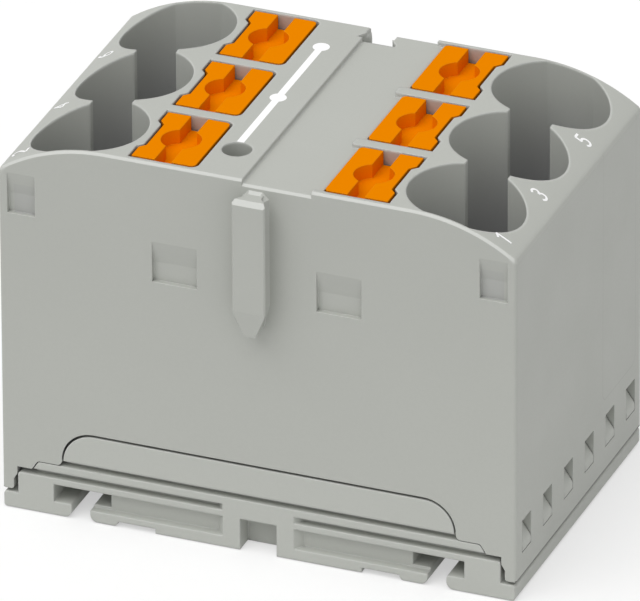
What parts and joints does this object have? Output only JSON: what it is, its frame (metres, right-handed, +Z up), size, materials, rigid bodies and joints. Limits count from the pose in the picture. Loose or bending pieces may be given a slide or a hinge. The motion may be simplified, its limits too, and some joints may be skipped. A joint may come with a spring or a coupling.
{
  "type": "power distribution block",
  "caption": "Push-in power distribution block with funnel entries along both sides, release push-buttons, a test hole and a slotted latched base.",
  "frame": {"origin": "middle of the underside, halfway between the front and back faces of the housing", "axes": "+X along the front towards the entries on the right, +Y from front to back, +Z up out of the crown"},
  "size_m": [0.0576, 0.0393, 0.0437],
  "materials": {
    "grey_housing": "fine moulded satin",
    "grey_base": "fine moulded satin",
    "orange": "fine moulded satin",
    "copper": "tinned or bare copper, satin",
    "cage_steel": "zinc plated",
    "spring_steel": "polished spring strip"
  },
  "bodies": {
    "block": {"housing": "grey_housing", "base_plate": "grey_base", "current_bar": "copper", "clamp_cage_right_1": "cage_steel", "clamp_cage_right_2": "cage_steel", "clamp_cage_right_3": "cage_steel", "clamp_cage_left_1": "cage_steel", "clamp_cage_left_2": "cage_steel", "clamp_cage_left_3": "cage_steel", "clamp_spring_right_1": "spring_steel", "clamp_spring_right_2": "spring_steel", "clamp_spring_right_3": "spring_steel", "clamp_spring_left_1": "spring_steel", "clamp_spring_left_2": "spring_steel", "clamp_spring_left_3": "spring_steel"},
    "button_right_1": {"release_button_right_1": "orange"},
    "button_right_2": {"release_button_right_2": "orange"},
    "button_right_3": {"release_button_right_3": "orange"},
    "button_left_1": {"release_button_left_1": "orange"},
    "button_left_2": {"release_button_left_2": "orange"},
    "button_left_3": {"release_button_left_3": "orange"}
  },
  "joints": [
    {"name": "press_right_1", "type": "slide", "parent": "block", "child": "button_right_1", "axis": [0, 0, -1], "range_m": [0, 0.003], "stiffness_N_per_m": 6000, "springref_m": -0.0005, "deforming": ["clamp_spring_right_1"]},
    {"name": "press_right_2", "type": "slide", "parent": "block", "child": "button_right_2", "axis": [0, 0, -1], "range_m": [0, 0.003], "stiffness_N_per_m": 6000, "springref_m": -0.0005, "deforming": ["clamp_spring_right_2"]},
    {"name": "press_right_3", "type": "slide", "parent": "block", "child": "button_right_3", "axis": [0, 0, -1], "range_m": [0, 0.003], "stiffness_N_per_m": 6000, "springref_m": -0.0005, "deforming": ["clamp_spring_right_3"]},
    {"name": "press_left_1", "type": "slide", "parent": "block", "child": "button_left_1", "axis": [0, 0, -1], "range_m": [0, 0.003], "stiffness_N_per_m": 6000, "springref_m": -0.0005, "deforming": ["clamp_spring_left_1"]},
    {"name": "press_left_2", "type": "slide", "parent": "block", "child": "button_left_2", "axis": [0, 0, -1], "range_m": [0, 0.003], "stiffness_N_per_m": 6000, "springref_m": -0.0005, "deforming": ["clamp_spring_left_2"]},
    {"name": "press_left_3", "type": "slide", "parent": "block", "child": "button_left_3", "axis": [0, 0, -1], "range_m": [0, 0.003], "stiffness_N_per_m": 6000, "springref_m": -0.0005, "deforming": ["clamp_spring_left_3"]}
  ]
}
